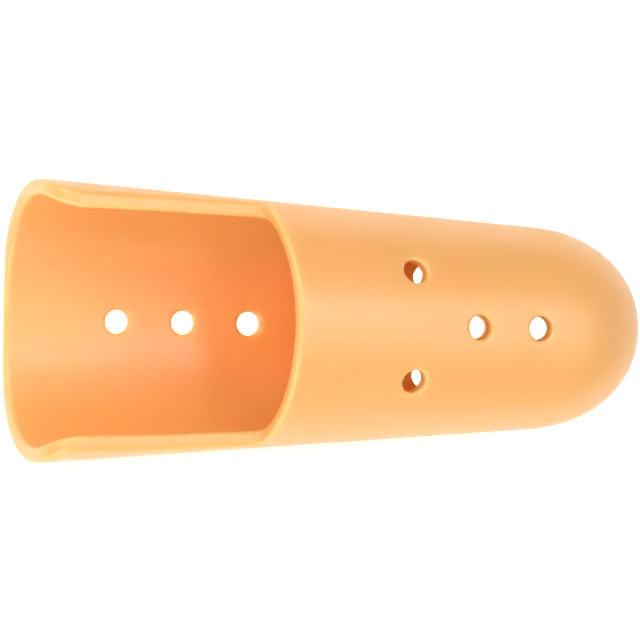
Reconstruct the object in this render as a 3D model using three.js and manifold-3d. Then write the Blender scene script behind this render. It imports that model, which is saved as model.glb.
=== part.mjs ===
// Fingertip splint: one moulded plastic shell, a trough for the finger that closes into a cap over its tip.
// Millimetres, +Z up. +X runs from the open mouth to the closed tip, and the finger lies along X, nail up.
// The origin is on the surface that the splint rests on, under the middle of its length.

import * as THREE from 'three';
import { mergeVertices } from 'three/addons/utils/BufferGeometryUtils.js';
import Module from 'manifold-3d';

// Outer body
const LENGTH = 64.0;
const MOUTH_WIDTH = 27.6;
const DOME_WIDTH = 20.5;
const MOUTH_HEIGHT = 23.5;
const DOME_HEIGHT = 17.6;
const WALL = 1.5;

// The crown starts to close towards the tip later than the floor, which curves up under the finger pad
const DOME_LENGTH = 11.6;
const PAD_LENGTH = 17.0;

// Depth skimmed off the round floor, which leaves a flat strip to rest on
const REST_SKIM = 0.12;

// Roundness of the section below and above its widest line, and of the dome: 2 is an ellipse
const LOWER_FULLNESS = 2.4;
const UPPER_FULLNESS = 2.1;
const DOME_FULLNESS = 2.15;

// Edge of the opening, seen from the side
const RIM_HEIGHT_MOUTH = 17.0;
const RIM_HEIGHT_CAP = 13.0;
const CAP_START = 24.5;
const CAP_EDGE_LEAN = 6.0;
const CAP_EDGE_BOW = 1.15;
const MOUTH_EDGE_UPRIGHT = 1.5;
const MOUTH_EDGE_LEAN = 7.4;
const MOUTH_CORNER_RADIUS = 3.4;
const CAP_CORNER_RADIUS = 0.9;

// Ventilation holes: the trough row is set out from the mouth, the others from the tip
const HOLE_DIAMETER = 2.4;
const TROUGH_HOLES = { first: 11.4, pitch: 6.8, count: 3 };
const CAP_TOP_HOLES = { first: 13.4, pitch: 6.5, count: 2 };
const CAP_TOP_PAIR = { first: 26.5, aside: 5.25 };
const CAP_FLOOR_HOLES = { first: 8.4, pitch: 6.4, count: 2 };
const CAP_FLOOR_PAIR = { first: 20.65, aside: 5.3 };

// Fineness of the facets
const SECTION_STEPS = 48;
const BODY_STEPS = 1;
const PAD_STEPS = 4;
const DOME_STEPS = 11;
const HOLE_SIDES = 20;
const CORNER_STEPS = 8;
const BOW_STEPS = 24;

// How far a cutter passes the surface that it cuts
const CUT_MARGIN = 3.0;

// Share of the way to the corner at which a cubic curve's handles make a round arc
const ARC_HANDLE = 0.55;

const { sin, cos, tan, abs, min, max, PI } = Math;
const { lerp, degToRad } = THREE.MathUtils;
const DOME_START = LENGTH - DOME_LENGTH;
const PAD_START = LENGTH - PAD_LENGTH;

const wasm = await Module();
wasm.setup();

// Section at x of the skin that lies inset from the outside, before it closes towards the tip: half its
// width, the height of its widest line, and how far it rises above that line and drops below it
function openSection(x, inset) {
  const taper = x / DOME_START;
  const floor = inset - REST_SKIM;
  const crown = lerp(MOUTH_HEIGHT, DOME_HEIGHT, taper) - inset;
  const middle = (crown + floor) / 2;
  return {
    halfWidth: lerp(MOUTH_WIDTH, DOME_WIDTH, taper) / 2 - inset,
    middle,
    rise: crown - middle,
    drop: middle - floor,
  };
}

// Share of the open section that is left at x, in the direction of the angle: 0 is the floor, PI the crown
function closingShare(x, angle, inset) {
  const dome = min(max((x - DOME_START) / (DOME_LENGTH - inset), 0), 1) ** DOME_FULLNESS;
  const pad = min(max((x - PAD_START) / (PAD_LENGTH - inset), 0), 1) ** DOME_FULLNESS;
  const closed = cos(angle) > 0 ? lerp(dome, pad, cos(angle) ** 2) : dome;
  return (1 - closed) ** (1 / DOME_FULLNESS);
}

// A point of the skin
function skinPoint(x, angle, inset) {
  const { halfWidth, middle, rise, drop } = openSection(x, inset);
  const share = closingShare(x, angle, inset);
  const isLower = cos(angle) > 0;
  const power = 2 / (isLower ? LOWER_FULLNESS : UPPER_FULLNESS);
  const y = share * halfWidth * abs(sin(angle)) ** power * Math.sign(sin(angle));
  const height = share * (isLower ? -drop : rise) * abs(cos(angle)) ** power;
  return new THREE.Vector3(x, y, middle + height);
}

// The skin's points round one section
function sectionRing(x, inset) {
  return Array.from({ length: SECTION_STEPS }, (_, i) => skinPoint(x, (2 * PI * i) / SECTION_STEPS, inset));
}

// Places along X at which the skin has a section, closer together towards the tip
function stations(start, inset) {
  const tip = LENGTH - inset;
  const spread = (from, to, steps) => Array.from({ length: steps }, (_, i) => lerp(from, to, i / steps));
  const dome = Array.from({ length: DOME_STEPS }, (_, i) => sin((PI / 2) * (i / DOME_STEPS)));
  return [
    ...spread(start, PAD_START, BODY_STEPS),
    ...spread(PAD_START, DOME_START, PAD_STEPS),
    ...dome.map((share) => lerp(DOME_START, tip, share)),
  ];
}

// Closed skin from a flat end at start to the pole of the dome
function skinSolid(start, inset) {
  const rings = stations(start, inset).map((x) => sectionRing(x, inset));
  const tip = LENGTH - inset;
  const points = rings.flat();
  const startCentre = points.push(new THREE.Vector3(start, 0, openSection(start, inset).middle)) - 1;
  const pole = points.push(new THREE.Vector3(tip, 0, openSection(tip, inset).middle)) - 1;
  const lastRing = (rings.length - 1) * SECTION_STEPS;
  const faces = [];
  for (let i = 0; i < SECTION_STEPS; i += 1) {
    const next = (i + 1) % SECTION_STEPS;
    for (let low = 0; low < lastRing; low += SECTION_STEPS) {
      const high = low + SECTION_STEPS;
      faces.push(low + i, low + next, high + next, low + i, high + next, high + i);
    }
    faces.push(startCentre, next, i);
    faces.push(pole, lastRing + i, lastRing + next);
  }
  const geometry = new THREE.BufferGeometry().setFromPoints(points);
  geometry.setIndex(faces);
  return toSolid(geometry);
}

// Height of the side rims over the trough
function rimHeight(x) {
  return lerp(RIM_HEIGHT_MOUTH, RIM_HEIGHT_CAP, x / CAP_START);
}

// Where a line through a point, leaning by so much X for each Z, meets the line of the rim
function rimMeeting(point, lean) {
  const slope = (RIM_HEIGHT_CAP - RIM_HEIGHT_MOUTH) / CAP_START;
  const x = (point.x + lean * (RIM_HEIGHT_MOUTH - point.y)) / (1 - lean * slope);
  return new THREE.Vector2(x, rimHeight(x));
}

// Adds a rounded corner to the outline, ending at the given point
function roundCorner(outline, corner, end) {
  const first = outline.currentPoint.clone().lerp(corner, ARC_HANDLE);
  const second = end.clone().lerp(corner, ARC_HANDLE);
  outline.bezierCurveTo(first.x, first.y, second.x, second.y, end.x, end.y);
}

// Side view of what is cut away: before the mouth edge, above the rims and before the cap
function openingOutline() {
  const before = -3 * CUT_MARGIN;
  const top = MOUTH_HEIGHT + CUT_MARGIN;
  const rimDirection = new THREE.Vector2(CAP_START, RIM_HEIGHT_CAP - RIM_HEIGHT_MOUTH).normalize();

  const mouthLean = tan(degToRad(MOUTH_EDGE_LEAN));
  const edgeRise = RIM_HEIGHT_MOUTH - MOUTH_EDGE_UPRIGHT - MOUTH_CORNER_RADIUS;
  const edgeTop = new THREE.Vector2(mouthLean * edgeRise, MOUTH_EDGE_UPRIGHT + edgeRise);
  const mouthCorner = rimMeeting(edgeTop, mouthLean);
  const rimStart = mouthCorner.clone().addScaledVector(rimDirection, mouthCorner.distanceTo(edgeTop));

  const capLean = tan(degToRad(CAP_EDGE_LEAN));
  const capCorner = new THREE.Vector2(CAP_START, RIM_HEIGHT_CAP);
  const rimEnd = capCorner.clone().addScaledVector(rimDirection, -CAP_CORNER_RADIUS);
  const capDirection = new THREE.Vector2(capLean, 1).normalize();
  const capEdgeStart = capCorner.clone().addScaledVector(capDirection, CAP_CORNER_RADIUS);

  const outline = new THREE.Shape();
  outline.moveTo(before, -CUT_MARGIN);
  outline.lineTo(0, -CUT_MARGIN);
  outline.lineTo(0, MOUTH_EDGE_UPRIGHT);
  outline.lineTo(edgeTop.x, edgeTop.y);
  roundCorner(outline, mouthCorner, rimStart);
  outline.lineTo(rimEnd.x, rimEnd.y);
  roundCorner(outline, capCorner, capEdgeStart);
  outline.lineTo(CAP_START + capLean * (top - RIM_HEIGHT_CAP), top);
  outline.lineTo(before, top);
  return outline;
}

// Draws the cap's edge towards the mouth at both sides, where the opening lies along it
function bowCapEdge(points) {
  const { halfWidth } = openSection(CAP_START, 0);
  for (let i = 0; i < points.count; i += 1) {
    const nearness = max(points.getX(i) / CAP_START, 0);
    const bow = CAP_EDGE_BOW * (points.getY(i) / halfWidth) ** 2;
    points.setX(i, points.getX(i) - bow * nearness);
  }
}

// The opening as a solid, right across the splint
function openingSolid() {
  const across = MOUTH_WIDTH + 2 * CUT_MARGIN;
  const geometry = new THREE.ExtrudeGeometry(openingOutline(), {
    depth: across,
    steps: BOW_STEPS,
    curveSegments: CORNER_STEPS,
    bevelEnabled: false,
  });
  geometry.rotateX(PI / 2);
  geometry.translate(0, across / 2, 0);
  bowCapEdge(geometry.attributes.position);
  return toSolid(geometry);
}

// What lies below the surface that the splint rests on
function restSkimSolid() {
  const geometry = new THREE.BoxGeometry(2 * LENGTH, 2 * MOUTH_WIDTH, CUT_MARGIN);
  geometry.translate(LENGTH / 2, 0, -CUT_MARGIN / 2);
  return toSolid(geometry);
}

// Height of the outer skin near its middle plane
function skinHeight(x, aside, isTop) {
  const { halfWidth, middle, rise, drop } = openSection(x, 0);
  const fullness = isTop ? UPPER_FULLNESS : LOWER_FULLNESS;
  const share = closingShare(x, isTop ? PI : 0, 0);
  const reach = max(share ** fullness - (abs(aside) / halfWidth) ** fullness, 0) ** (1 / fullness);
  return middle + (isTop ? rise : -drop) * reach;
}

// Outward direction of the outer skin, from its slopes over two short steps
function skinNormal(x, aside, isTop) {
  const step = 0.01;
  const slope = (dx, dy) =>
    (skinHeight(x + dx, aside + dy, isTop) - skinHeight(x - dx, aside - dy, isTop)) / (2 * step);
  const normal = new THREE.Vector3(-slope(step, 0), -slope(0, step), 1).normalize();
  return isTop ? normal : normal.negate();
}

// Cutter for one hole, square to the skin
function holeSolid({ x, aside, isTop }) {
  const radius = HOLE_DIAMETER / 2;
  const geometry = new THREE.CylinderGeometry(radius, radius, 2 * (WALL + CUT_MARGIN), HOLE_SIDES);
  const axis = new THREE.Vector3(0, 1, 0);
  geometry.applyQuaternion(new THREE.Quaternion().setFromUnitVectors(axis, skinNormal(x, aside, isTop)));
  geometry.translate(x, aside, skinHeight(x, aside, isTop));
  return toSolid(geometry);
}

// Places of all the ventilation holes
function holePlaces() {
  const along = ({ first, pitch, count }) => Array.from({ length: count }, (_, i) => first + pitch * i);
  const fromMouth = (row) => along(row).map((x) => ({ x, aside: 0, isTop: false }));
  const fromTip = (row, isTop) => along(row).map((back) => ({ x: LENGTH - back, aside: 0, isTop }));
  const pair = ({ first, aside }, isTop) =>
    [aside, -aside].map((offset) => ({ x: LENGTH - first, aside: offset, isTop }));
  return [
    ...fromMouth(TROUGH_HOLES),
    ...fromTip(CAP_TOP_HOLES, true),
    ...fromTip(CAP_FLOOR_HOLES, false),
    ...pair(CAP_TOP_PAIR, true),
    ...pair(CAP_FLOOR_PAIR, false),
  ];
}

// A closed geometry as a solid that can be joined and cut
function toSolid(geometry) {
  geometry.deleteAttribute('normal');
  geometry.deleteAttribute('uv');
  const merged = mergeVertices(geometry, 1e-5);
  return new wasm.Manifold(
    new wasm.Mesh({
      numProp: 3,
      vertProperties: new Float32Array(merged.attributes.position.array),
      triVerts: new Uint32Array(merged.index.array),
    }),
  );
}

// A solid as a geometry, with the origin moved under the middle of the length
function toGeometry(solid) {
  const mesh = solid.getMesh();
  const geometry = new THREE.BufferGeometry();
  geometry.setAttribute('position', new THREE.BufferAttribute(mesh.vertProperties, 3));
  geometry.setIndex(new THREE.BufferAttribute(mesh.triVerts, 1));
  geometry.translate(-LENGTH / 2, 0, 0);
  geometry.computeVertexNormals();
  return geometry;
}

// The whole shell: outer skin, hollowed, opened over the trough, skimmed flat below and drilled
function splintShell() {
  const body = skinSolid(-CUT_MARGIN, 0).subtract(skinSolid(-2 * CUT_MARGIN, WALL));
  const cutters = [openingSolid(), restSkimSolid(), ...holePlaces().map(holeSolid)];
  const shell = cutters.reduce((solid, cutter) => solid.subtract(cutter), body);
  const plastic = new THREE.MeshStandardMaterial({ color: 0xf5b27c, roughness: 0.42, metalness: 0 });
  const mesh = new THREE.Mesh(toGeometry(shell), plastic);
  mesh.name = 'splint_shell';
  return mesh;
}

const splint = new THREE.Group();
splint.add(splintShell());

export default splint;
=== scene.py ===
# A fingertip splint moulded in one piece from peach plastic: an open trough under the finger that closes
# into a round-ended cap over its tip. Metres, +X towards the tip, +Z up, resting on its floor.
import math

import bpy
from mathutils import Matrix, Vector


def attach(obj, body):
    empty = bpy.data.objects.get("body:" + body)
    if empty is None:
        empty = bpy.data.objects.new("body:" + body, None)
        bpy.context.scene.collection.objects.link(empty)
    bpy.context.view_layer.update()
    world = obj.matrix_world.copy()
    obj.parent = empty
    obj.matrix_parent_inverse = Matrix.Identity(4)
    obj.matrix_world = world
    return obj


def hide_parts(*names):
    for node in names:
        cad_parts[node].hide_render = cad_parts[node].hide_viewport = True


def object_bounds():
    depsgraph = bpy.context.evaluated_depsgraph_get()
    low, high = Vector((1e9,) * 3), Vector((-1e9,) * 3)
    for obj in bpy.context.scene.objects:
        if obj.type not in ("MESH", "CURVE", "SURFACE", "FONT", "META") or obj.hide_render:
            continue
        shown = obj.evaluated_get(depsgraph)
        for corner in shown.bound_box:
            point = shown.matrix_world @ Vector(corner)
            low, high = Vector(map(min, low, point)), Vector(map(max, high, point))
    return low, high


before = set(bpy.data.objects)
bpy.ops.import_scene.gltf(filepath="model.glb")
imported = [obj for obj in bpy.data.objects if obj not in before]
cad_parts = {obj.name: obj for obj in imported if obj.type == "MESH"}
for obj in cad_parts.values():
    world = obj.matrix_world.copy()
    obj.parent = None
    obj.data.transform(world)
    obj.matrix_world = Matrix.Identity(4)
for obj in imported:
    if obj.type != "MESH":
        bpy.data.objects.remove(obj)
CAD_BOX = [list(corner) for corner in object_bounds()]
LENGTH = CAD_BOX[1][0] - CAD_BOX[0][0]

# Photograph's view: its tilt from straight above, its roll, and the point that it centres on
CAMERA_TILT = math.radians(15.0)
CAMERA_ROLL = math.radians(0.9)
CAMERA_DISTANCE = 0.300
CAMERA_AIM = Vector((-0.00122, 0.0005, 0.00767))
CAMERA_LENS = 168.75
SENSOR_WIDTH = 36.0

# Sizes of the shell, by the names of its tree's inputs
SHELL_SIZES = {
    "Length": LENGTH,
    "Mouth width": 0.0276,
    "Dome width": 0.0205,
    "Mouth height": 0.0235,
    "Dome height": 0.0176,
    "Wall": 0.0015,
    "Dome length": 0.0116,
    "Pad length": 0.0170,
    "Rest skim": 0.00012,
    "Rim height at mouth": 0.0170,
    "Rim height at cap": 0.0130,
    "Cap start": 0.0245,
    "Cap edge slope": math.tan(math.radians(6.0)),
    "Cap edge bow": 0.00115,
    "Mouth edge upright": 0.0015,
    "Mouth edge slope": math.tan(math.radians(7.4)),
    "Mouth corner radius": 0.0034,
    "Cap corner radius": 0.0010,
    "Edge rounding": 0.00036,
    "Hole diameter": 0.0024,
    "Hole edge rounding": 0.00018,
}

# Roundness of the section below and above its widest line, and of the dome: 2 is an ellipse
LOWER_FULLNESS = 2.4
UPPER_FULLNESS = 2.1
DOME_FULLNESS = 2.15


def row_of_holes(first, height, aside=0.0, pitch=0.0, count=1):
    """A row of holes: where the first lies, the height that its drill comes from, its place to the side."""
    return {"first": first, "pitch": pitch, "count": count, "aside": aside, "height": height}


# Ventilation holes, drilled from just above the cap or from just under the floor
DRILL_ABOVE = 0.0215
DRILL_BELOW = -0.0010
HOLE_ROWS = {
    "Trough holes": row_of_holes(0.0114, DRILL_BELOW, pitch=0.0068, count=3),
    "Cap top holes": row_of_holes(LENGTH - 0.0134, DRILL_ABOVE, pitch=-0.0065, count=2),
    "Cap top pair left": row_of_holes(LENGTH - 0.0265, DRILL_ABOVE, aside=0.00525),
    "Cap top pair right": row_of_holes(LENGTH - 0.0265, DRILL_ABOVE, aside=-0.00525),
    "Cap floor holes": row_of_holes(LENGTH - 0.0084, DRILL_BELOW, pitch=-0.0064, count=2),
    "Cap floor pair left": row_of_holes(LENGTH - 0.02065, DRILL_BELOW, aside=0.0053),
    "Cap floor pair right": row_of_holes(LENGTH - 0.02065, DRILL_BELOW, aside=-0.0053),
}
ROW_FIELDS = {"first": "NodeSocketFloat", "pitch": "NodeSocketFloat", "count": "NodeSocketInt",
              "aside": "NodeSocketFloat", "height": "NodeSocketFloat"}

# Half the length of a drill, the share of the skin's sideways lean that it keeps, and how many
# times it is dropped nearer to the skin
DRILL_REACH = 0.0024
DRILL_LEAN = 0.4
DRILL_DROPS = 6

# Fineness of the shell's surface, the room left round it, and how sharply its grid tells in from out
GRAIN = 0.000305
MARGIN = 0.0009
GRID_SHARPNESS = 1000.0

# Short step that slopes are taken over, along each axis, and the least slope that counts
SLOPE_STEP = 0.00004
SLOPE_STEPS = ((SLOPE_STEP, 0.0, 0.0), (0.0, SLOPE_STEP, 0.0), (0.0, 0.0, SLOPE_STEP))
LEAST_SLOPE = 0.05

# What is done in turn to the meshed surface: even its points out, or move them onto the skin
FINISHING = ("onto skin", "even out", "onto skin", "even out", "onto skin", "onto skin")

# Studio lights: place, width, height and power in watts, all turned to one point
LIGHT_AIM = Vector((0.0, 0.0, 0.008))
SOFT_BOXES = {
    "low corner light": ((-0.35, -0.35, 0.495), 0.45, 0.45, 2.3),
    "high corner light": ((-0.35, 0.35, 0.495), 0.45, 0.45, 2.25),
    "low side light": ((0.0, -0.66, 0.24), 0.45, 0.45, 1.2),
    "tip side light": ((0.45, 0.0, 0.54), 0.45, 0.45, 1.2),
    "overhead light": ((0.0, 0.0, 0.7), 0.45, 0.45, 0.25),
    "strip light": ((0.155, 0.132, 0.565), 0.16, 0.05, 0.55),
}
SURROUNDINGS = 0.29

# White floor: half its side, how far under the splint it lies, and how brightly it glows under the
# splint, where the holes show it, and around it. The glow is painted light: it lifts the shade
# under the splint so that the holes show white
FLOOR_HALF = 3.0
FLOOR_GAP = 0.0002
GLOW_UNDER = 1.02
GLOW_AROUND = 0.25


class Field:
    """A number or a vector in a node tree, reckoned with like a plain one."""

    def __init__(self, tree, socket):
        self.tree = tree
        self.socket = socket

    def reckon(self, operation, *others):
        """The result of one math node on this field and the others."""
        kind = "ShaderNodeVectorMath" if self.socket.type == "VECTOR" else "ShaderNodeMath"
        node = self.tree.nodes.new(kind)
        node.operation = operation
        for slot, value in zip(node.inputs, (self, *others)):
            feed(self.tree, slot, value)
        return Field(self.tree, next(s for s in node.outputs if s.enabled))

    def __add__(self, other):
        return self.reckon("ADD", other)

    def __sub__(self, other):
        return self.reckon("SUBTRACT", other)

    def __mul__(self, other):
        return self.reckon("MULTIPLY", other)

    def __truediv__(self, other):
        return self.reckon("DIVIDE", other)

    def __pow__(self, other):
        return self.reckon("POWER", other)

    def __neg__(self):
        return self.reckon("MULTIPLY", -1.0)

    def scaled(self, share):
        """This vector times a number."""
        node = self.tree.nodes.new("ShaderNodeVectorMath")
        node.operation = "SCALE"
        feed(self.tree, node.inputs["Vector"], self)
        feed(self.tree, node.inputs["Scale"], share)
        return Field(self.tree, node.outputs["Vector"])

    def parts(self):
        """The X, Y and Z of this vector."""
        node = self.tree.nodes.new("ShaderNodeSeparateXYZ")
        feed(self.tree, node.inputs[0], self)
        return [Field(self.tree, socket) for socket in node.outputs]


def feed(tree, slot, value):
    """Gives an input either another node's output or a plain value."""
    if isinstance(value, Field):
        tree.links.new(value.socket, slot)
    else:
        slot.default_value = value


def vector(tree, x, y, z):
    """A vector field from three numbers."""
    node = tree.nodes.new("ShaderNodeCombineXYZ")
    for slot, value in zip(node.inputs, (x, y, z)):
        feed(tree, slot, value)
    return Field(tree, node.outputs[0])


def larger(a, b):
    """The larger of two numbers."""
    return a.reckon("MAXIMUM", b)


def smaller(a, b):
    """The smaller of two numbers."""
    return a.reckon("MINIMUM", b)


def mixed(a, b, share):
    """The value that lies a share of the way from a to b."""
    return a + (b - a) * share


def round_meet(a, b, radius):
    """Distance to what lies inside both a and b, with the edge where they meet rounded."""
    past_a = larger(a + radius, 0.0)
    past_b = larger(b + radius, 0.0)
    corner = (past_a * past_a + past_b * past_b).reckon("SQRT")
    return smaller(larger(a, b), -radius) + corner


def round_join(a, b, radius):
    """Distance to what lies inside a or b, with the inner corner between them filled to a radius."""
    short_a = larger(-a + radius, 0.0)
    short_b = larger(-b + radius, 0.0)
    corner = (short_a * short_a + short_b * short_b).reckon("SQRT")
    return larger(smaller(a, b), radius) - corner


def node_group(name, inputs, outputs):
    """An empty node group, its input fields by name, and a function that sets an output."""
    tree = bpy.data.node_groups.new(name, "GeometryNodeTree")
    for label, kind in inputs.items():
        tree.interface.new_socket(label, in_out="INPUT", socket_type=kind)
    for label, kind in outputs.items():
        tree.interface.new_socket(label, in_out="OUTPUT", socket_type=kind)
    entry = tree.nodes.new("NodeGroupInput")
    leave = tree.nodes.new("NodeGroupOutput")
    fields = {label: Field(tree, entry.outputs[label]) for label in inputs}

    def give(label, value):
        feed(tree, leave.inputs[label], value)

    return tree, fields, give


def use_group(tree, group, values):
    """A group's outputs by name, with its inputs fed by name."""
    node = tree.nodes.new("GeometryNodeGroup")
    node.node_tree = group
    for label, value in values.items():
        feed(tree, node.inputs[label], value)
    return {socket.name: Field(tree, socket) for socket in node.outputs}


def use_node(tree, kind, settings, values, output):
    """One node's output, with its settings and inputs given."""
    node = tree.nodes.new(kind)
    for name, value in settings.items():
        setattr(node, name, value)
    for label, value in values.items():
        feed(tree, node.inputs[label], value)
    return Field(tree, node.outputs[output])


def size_inputs():
    """The shell's sizes as a group's inputs."""
    return {name: "NodeSocketFloat" for name in SHELL_SIZES}


def sizes_from(fields):
    """The shell's sizes alone, out of a group's fields."""
    return {name: fields[name] for name in SHELL_SIZES}


def skin_share_group():
    """How far out a place lies: 1 on the skin that runs inset from the outside, less inside that skin."""
    inputs = {"Place": "NodeSocketVector", "Inset": "NodeSocketFloat", **size_inputs()}
    tree, size, give = node_group("skin share", inputs, {"Share": "NodeSocketFloat"})
    along, aside, height = size["Place"].parts()
    inset = size["Inset"]
    x = along + size["Length"] * 0.5
    dome_start = size["Length"] - size["Dome length"]
    pad_start = size["Length"] - size["Pad length"]

    taper = x / dome_start
    half_width = mixed(size["Mouth width"], size["Dome width"], taper) * 0.5 - inset
    crown = mixed(size["Mouth height"], size["Dome height"], taper) - inset
    floor = inset - size["Rest skim"]
    rise = height - (crown + floor) * 0.5
    is_lower = rise.reckon("LESS_THAN", 0.0)

    fullness = is_lower * (LOWER_FULLNESS - UPPER_FULLNESS) + UPPER_FULLNESS
    to_dome = is_lower * (DOME_FULLNESS / LOWER_FULLNESS - DOME_FULLNESS / UPPER_FULLNESS)
    wide = (aside.reckon("ABSOLUTE") / half_width) ** fullness
    tall = (rise.reckon("ABSOLUTE") / ((crown - floor) * 0.5)) ** fullness
    section = (wide + tall) ** (to_dome + DOME_FULLNESS / UPPER_FULLNESS)

    dome = larger((x - dome_start) / (size["Dome length"] - inset), 0.0) ** DOME_FULLNESS
    pad = larger((x - pad_start) / (size["Pad length"] - inset), 0.0) ** DOME_FULLNESS
    floorward = is_lower * tall / (wide + tall + 1e-6)
    give("Share", (section + mixed(dome, pad, floorward)) ** (1.0 / DOME_FULLNESS))
    return tree


def skin_distance_group(skin_share):
    """Distance out of a skin, and the way that it faces, from the share and its slopes."""
    inputs = {"Place": "NodeSocketVector", "Inset": "NodeSocketFloat", **size_inputs()}
    outputs = {"Distance": "NodeSocketFloat", "Direction": "NodeSocketVector"}
    tree, size, give = node_group("skin distance", inputs, outputs)

    def share_at(offset):
        place = size["Place"] + offset
        values = {**sizes_from(size), "Place": place, "Inset": size["Inset"]}
        return use_group(tree, skin_share, values)["Share"]

    here = share_at((0.0, 0.0, 0.0))
    slope = vector(tree, *[(share_at(step) - here) * (1.0 / SLOPE_STEP) for step in SLOPE_STEPS])
    give("Distance", (here - 1.0) / larger(slope.reckon("LENGTH"), 1.0))
    give("Direction", slope.reckon("NORMALIZE"))
    return tree


def kept_side_distance(size, x, aside, height):
    """Distance out of the splint's side view: mouth edge, rims and cap edge with their rounded corners."""
    lean = size["Mouth edge slope"]
    mouth_edge = larger(height - size["Mouth edge upright"], 0.0) * lean
    mouth = (mouth_edge - x) / (lean * lean + 1.0).reckon("SQRT")

    fall = (size["Rim height at cap"] - size["Rim height at mouth"]) / size["Cap start"]
    rim_height = size["Rim height at mouth"] + fall * x
    rim = (height - rim_height) / (fall * fall + 1.0).reckon("SQRT")

    slope = size["Cap edge slope"]
    taper = size["Cap start"] / (size["Length"] - size["Dome length"])
    half_width = mixed(size["Mouth width"], size["Dome width"], taper) * 0.5
    from_middle = aside / half_width
    bow = size["Cap edge bow"] * from_middle * from_middle
    cap_edge = size["Cap start"] + slope * (height - size["Rim height at cap"]) - bow
    cap = (cap_edge - x) / (slope * slope + 1.0).reckon("SQRT")
    cap_side = round_join(rim, cap, size["Cap corner radius"])
    return round_meet(mouth, cap_side, size["Mouth corner radius"])


def shell_distance_group(skin_distance):
    """Distance out of the finished shell: its wall, cut to the side view, drilled, its edges rounded."""
    inputs = {"Place": "NodeSocketVector", "Drills": "NodeSocketGeometry", **size_inputs()}
    tree, size, give = node_group("shell distance", inputs, {"Distance": "NodeSocketFloat"})
    place = size["Place"]
    along, aside, height = place.parts()

    outer = use_group(tree, skin_distance, {**sizes_from(size), "Place": place, "Inset": 0.0})
    inner = use_group(tree, skin_distance, {**sizes_from(size), "Place": place, "Inset": size["Wall"]})
    wall = larger(outer["Distance"], -inner["Distance"])
    kept = kept_side_distance(size, along + size["Length"] * 0.5, aside, height)
    body = round_meet(wall, kept, size["Edge rounding"])

    from_drill = use_node(tree, "GeometryNodeProximity", {"target_element": "EDGES"},
                          {"Target": size["Drills"], "Source Position": place}, "Distance")
    beside_hole = size["Hole diameter"] * 0.5 - from_drill
    drilled = round_meet(body, beside_hole, size["Hole edge rounding"])
    give("Distance", larger(drilled, -height))
    return tree


def hole_row_group(skin_distance):
    """A row of drills through the wall: a short line for each, nearly square to the skin."""
    inputs = {**ROW_FIELDS, **size_inputs()}
    tree, size, give = node_group("hole row", inputs, {"Drills": "NodeSocketGeometry"})
    place = use_node(tree, "GeometryNodeInputPosition", {}, {}, "Position")
    start = vector(tree, size["first"] - size["Length"] * 0.5, size["aside"], size["height"])
    step = vector(tree, size["pitch"], 0.0, 0.0)
    row = use_node(tree, "GeometryNodeMeshLine", {"mode": "OFFSET"},
                   {"Count": size["count"], "Start Location": start, "Offset": step}, "Mesh")
    mid_wall = {**sizes_from(size), "Place": place, "Inset": size["Wall"] * 0.5}
    skin = use_group(tree, skin_distance, mid_wall)
    _, _, upward = skin["Direction"].parts()
    drop = vector(tree, 0.0, 0.0, -(skin["Distance"] / upward))
    for _ in range(DRILL_DROPS):
        row = use_node(tree, "GeometryNodeSetPosition", {}, {"Geometry": row, "Offset": drop}, "Geometry")
    drill = use_node(tree, "GeometryNodeMeshLine", {"mode": "OFFSET"},
                     {"Count": 2, "Start Location": (0.0, 0.0, -DRILL_REACH),
                      "Offset": (0.0, 0.0, 2.0 * DRILL_REACH)}, "Mesh")
    near_upright = skin["Direction"] * (1.0, DRILL_LEAN, 1.0)
    square = use_node(tree, "FunctionNodeAlignRotationToVector", {"axis": "Z"},
                      {"Vector": near_upright}, "Rotation")
    drills = use_node(tree, "GeometryNodeInstanceOnPoints", {},
                      {"Points": row, "Instance": drill, "Rotation": square}, "Instances")
    give("Drills", use_node(tree, "GeometryNodeRealizeInstances", {}, {"Geometry": drills}, "Geometry"))
    return tree


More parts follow.
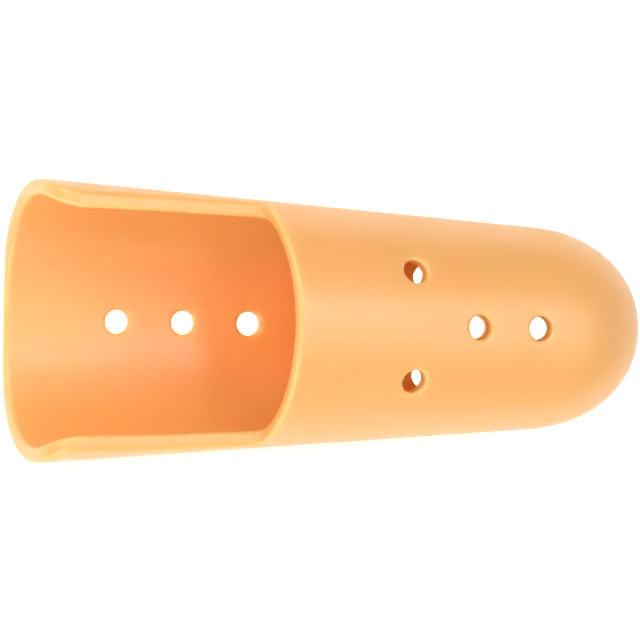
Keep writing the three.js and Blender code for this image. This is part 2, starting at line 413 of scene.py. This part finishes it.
def splint_shell_tree(plastic):
    """The whole shell: its drills, a fine grid of distances, and the surface where they are nought."""
    row_inputs = {f"{row} {name}": kind for row in HOLE_ROWS for name, kind in ROW_FIELDS.items()}
    inputs = {"Geometry": "NodeSocketGeometry", **size_inputs(), **row_inputs}
    tree, size, give = node_group("splint shell", inputs, {"Geometry": "NodeSocketGeometry"})
    skin_distance = skin_distance_group(skin_share_group())
    shell_distance = shell_distance_group(skin_distance)
    hole_row = hole_row_group(skin_distance)

    join = tree.nodes.new("GeometryNodeJoinGeometry")
    for row in HOLE_ROWS:
        values = {name: size[f"{row} {name}"] for name in ROW_FIELDS}
        drills = use_group(tree, hole_row, {**sizes_from(size), **values})["Drills"]
        tree.links.new(drills.socket, join.inputs[0])
    drills = Field(tree, join.outputs[0])
    place = use_node(tree, "GeometryNodeInputPosition", {}, {}, "Position")

    def distance_at(offset):
        values = {**sizes_from(size), "Drills": drills, "Place": place + offset}
        return use_group(tree, shell_distance, values)["Distance"]

    here = distance_at((0.0, 0.0, 0.0))
    low = [CAD_BOX[0][axis] - MARGIN for axis in range(3)]
    high = [CAD_BOX[1][axis] + MARGIN for axis in range(3)]
    counts = [math.ceil((high[axis] - low[axis]) / GRAIN) for axis in range(3)]
    grid_values = {"Density": here * -GRID_SHARPNESS, "Background": -1.0, "Min": low, "Max": high,
                   "Resolution X": counts[0], "Resolution Y": counts[1], "Resolution Z": counts[2]}
    grid = use_node(tree, "GeometryNodeVolumeCube", {}, grid_values, "Volume")
    shell = use_node(tree, "GeometryNodeVolumeToMesh", {"resolution_mode": "GRID"},
                     {"Volume": grid, "Threshold": 0.0, "Adaptivity": 0.0}, "Mesh")

    slope = vector(tree, *[(distance_at(step) - here) * (1.0 / SLOPE_STEP) for step in SLOPE_STEPS])
    steepness = slope.reckon("DOT_PRODUCT", slope)
    onto_skin = slope.scaled(-here / larger(steepness, LEAST_SLOPE))
    evened = use_node(tree, "GeometryNodeBlurAttribute", {"data_type": "FLOAT_VECTOR"},
                      {"Value": place, "Iterations": 2, "Weight": 1.0}, "Value")
    for turn in FINISHING:
        change = {"Position": evened} if turn == "even out" else {"Offset": onto_skin}
        shell = use_node(tree, "GeometryNodeSetPosition", {}, {"Geometry": shell, **change}, "Geometry")
    shell = use_node(tree, "GeometryNodeSetShadeSmooth", {}, {"Geometry": shell}, "Geometry")
    shell = use_node(tree, "GeometryNodeRealizeInstances", {}, {"Geometry": shell}, "Geometry")
    finished = {"Geometry": shell, "Material": plastic}
    give("Geometry", use_node(tree, "GeometryNodeSetMaterial", {}, finished, "Geometry"))
    return tree


def set_tree_input(modifier, tree, name, value):
    """Gives a modifier's input its value, by the input's identifier."""
    for item in tree.interface.items_tree:
        if item.item_type == "SOCKET" and item.in_out == "INPUT" and item.name == name:
            modifier[item.identifier] = value
            return
    raise KeyError(name)


def make_shell(plastic):
    """The moulded shell as a plain mesh, made by its tree."""
    tree = splint_shell_tree(plastic)
    blank = bpy.data.objects.new("splint_blank", bpy.data.meshes.new("splint_blank"))
    bpy.context.scene.collection.objects.link(blank)
    modifier = blank.modifiers.new("splint shell", "NODES")
    modifier.node_group = tree
    for name, value in SHELL_SIZES.items():
        set_tree_input(modifier, tree, name, value)
    for row, row_values in HOLE_ROWS.items():
        for name, value in row_values.items():
            set_tree_input(modifier, tree, f"{row} {name}", value)
    evaluated = blank.evaluated_get(bpy.context.evaluated_depsgraph_get())
    mesh = bpy.data.meshes.new_from_object(evaluated)
    mesh.name = "peach_splint"
    shell = bpy.data.objects.new("peach_splint", mesh)
    bpy.context.scene.collection.objects.link(shell)
    blank.modifiers.clear()
    bpy.data.objects.remove(blank)
    return shell


def shader_node(tree, kind, settings, values):
    """A shader node with its settings and inputs given."""
    node = tree.nodes.new(kind)
    for name, value in settings.items():
        setattr(node, name, value)
    for label, value in values.items():
        if isinstance(value, bpy.types.NodeSocket):
            tree.links.new(value, node.inputs[label])
        else:
            node.inputs[label].default_value = value
    return node


def peach_plastic():
    """Satin peach moulding plastic: faintly clouded pigment, a fine orange-peel skin and light scuffs."""
    material = bpy.data.materials.new("satin_peach_plastic")
    material.use_nodes = True
    tree = material.node_tree
    shader = tree.nodes["Principled BSDF"]
    place = shader_node(tree, "ShaderNodeTexCoord", {}, {}).outputs["Object"]

    clouds = shader_node(tree, "ShaderNodeTexNoise", {},
                         {"Vector": place, "Scale": 90.0, "Detail": 3.0, "Roughness": 0.55})
    pigment = shader_node(tree, "ShaderNodeMix", {"data_type": "RGBA"},
                          {"Factor": clouds.outputs["Fac"]})
    pigment.inputs["A"].default_value = (0.81, 0.400, 0.110, 1.0)
    pigment.inputs["B"].default_value = (0.83, 0.420, 0.124, 1.0)
    tree.links.new(pigment.outputs["Result"], shader.inputs["Base Color"])

    rub = shader_node(tree, "ShaderNodeTexNoise", {},
                      {"Vector": place, "Scale": 260.0, "Detail": 4.0, "Roughness": 0.6})
    satin = shader_node(tree, "ShaderNodeMapRange", {},
                        {"Value": rub.outputs["Fac"], "From Min": 0.3, "From Max": 0.7,
                         "To Min": 0.34, "To Max": 0.46})
    tree.links.new(satin.outputs["Result"], shader.inputs["Roughness"])

    peel = shader_node(tree, "ShaderNodeTexNoise", {},
                       {"Vector": place, "Scale": 1400.0, "Detail": 2.0, "Roughness": 0.5})
    relief = shader_node(tree, "ShaderNodeBump", {},
                         {"Strength": 0.12, "Distance": 0.00004, "Height": peel.outputs["Fac"]})
    tree.links.new(relief.outputs["Normal"], shader.inputs["Normal"])

    shader.inputs["IOR"].default_value = 1.51
    shader.inputs["Specular IOR Level"].default_value = 1.0
    shader.inputs["Subsurface Weight"].default_value = 0.95
    shader.inputs["Subsurface Radius"].default_value = (0.85, 0.9, 0.8)
    shader.inputs["Subsurface Scale"].default_value = 0.0031
    return material


def white_floor():
    """A plain white sheet, far wider than the view, which glows most under the splint: painted light that
    lifts the shade there.
    """
    material = bpy.data.materials.new("white_sheet")
    material.use_nodes = True
    tree = material.node_tree
    shader = tree.nodes["Principled BSDF"]
    place = shader_node(tree, "ShaderNodeTexCoord", {}, {}).outputs["Object"]
    tone = shader_node(tree, "ShaderNodeTexNoise", {}, {"Vector": place, "Scale": 4.0, "Detail": 1.0})
    sheet = shader_node(tree, "ShaderNodeMix", {"data_type": "RGBA"}, {"Factor": tone.outputs["Fac"]})
    sheet.inputs["A"].default_value = (0.90, 0.90, 0.90, 1.0)
    sheet.inputs["B"].default_value = (0.92, 0.92, 0.92, 1.0)
    tree.links.new(sheet.outputs["Result"], shader.inputs["Base Color"])
    shader.inputs["Roughness"].default_value = 0.9
    glow_place = shader_node(tree, "ShaderNodeMapping", {},
                             {"Vector": place, "Location": (0.047, 0.0, 0.0), "Scale": (26.0, 90.0, 1.0)})
    from_middle = shader_node(tree, "ShaderNodeVectorMath", {"operation": "LENGTH"},
                              {"Vector": glow_place.outputs["Vector"]})
    # Painted light: the sheet glows brightest under the splint, where it lies in the splint's shade
    glow = shader_node(tree, "ShaderNodeMapRange", {},
                       {"Value": from_middle.outputs["Value"], "From Min": 0.6, "From Max": 1.0,
                        "To Min": GLOW_UNDER, "To Max": GLOW_AROUND})
    shader.inputs["Emission Color"].default_value = (1.0, 1.0, 1.0, 1.0)
    tree.links.new(glow.outputs["Result"], shader.inputs["Emission Strength"])
    sides = ((-1, -1), (1, -1), (1, 1), (-1, 1))
    corners = [(x * FLOOR_HALF, y * FLOOR_HALF, 0.0) for x, y in sides]
    mesh = bpy.data.meshes.new("floor")
    mesh.from_pydata(corners, [], [(0, 1, 2, 3)])
    mesh.materials.append(material)
    floor = bpy.data.objects.new("floor", mesh)
    bpy.context.scene.collection.objects.link(floor)
    floor.location.z = -FLOOR_GAP
    return floor


def soft_box(name, place, width, height, power):
    """A rectangular studio light turned to the splint."""
    light = bpy.data.lights.new(name, "AREA")
    light.shape = "RECTANGLE"
    light.size = width
    light.size_y = height
    light.energy = power
    lamp = bpy.data.objects.new(name, light)
    lamp.location = place
    lamp.rotation_euler = (LIGHT_AIM - Vector(place)).to_track_quat("-Z", "Y").to_euler()
    bpy.context.scene.collection.objects.link(lamp)


def photograph_camera():
    """The camera at the photograph's angle, above the splint and leaning towards its mouth."""
    forward = Vector((math.sin(CAMERA_TILT), 0.0, -math.cos(CAMERA_TILT)))
    across = Vector((math.cos(CAMERA_TILT), 0.0, math.sin(CAMERA_TILT)))
    up = Vector((0.0, 1.0, 0.0))
    right = across * math.cos(CAMERA_ROLL) + up * math.sin(CAMERA_ROLL)
    top = up * math.cos(CAMERA_ROLL) - across * math.sin(CAMERA_ROLL)
    lens = bpy.data.cameras.new("camera")
    lens.lens = CAMERA_LENS
    lens.sensor_width = SENSOR_WIDTH
    lens.clip_start = 0.01
    camera = bpy.data.objects.new("camera", lens)
    turn = Matrix((right, top, -forward)).transposed().to_4x4()
    camera.matrix_world = Matrix.Translation(CAMERA_AIM - forward * CAMERA_DISTANCE) @ turn
    bpy.context.scene.collection.objects.link(camera)
    bpy.context.scene.camera = camera


def studio():
    """Plain white surroundings with large soft lights from the mouth's two corners."""
    world = bpy.data.worlds.new("studio")
    world.use_nodes = True
    backdrop = world.node_tree.nodes["Background"]
    backdrop.inputs["Color"].default_value = (1.0, 1.0, 1.0, 1.0)
    backdrop.inputs["Strength"].default_value = SURROUNDINGS
    bpy.context.scene.world = world
    for name, (place, width, height, power) in SOFT_BOXES.items():
        soft_box(name, place, width, height, power)
    bpy.context.scene.view_settings.view_transform = "Standard"


photograph_camera()
studio()
white_floor()
splint = make_shell(peach_plastic())
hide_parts("splint_shell")
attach(splint, "root")
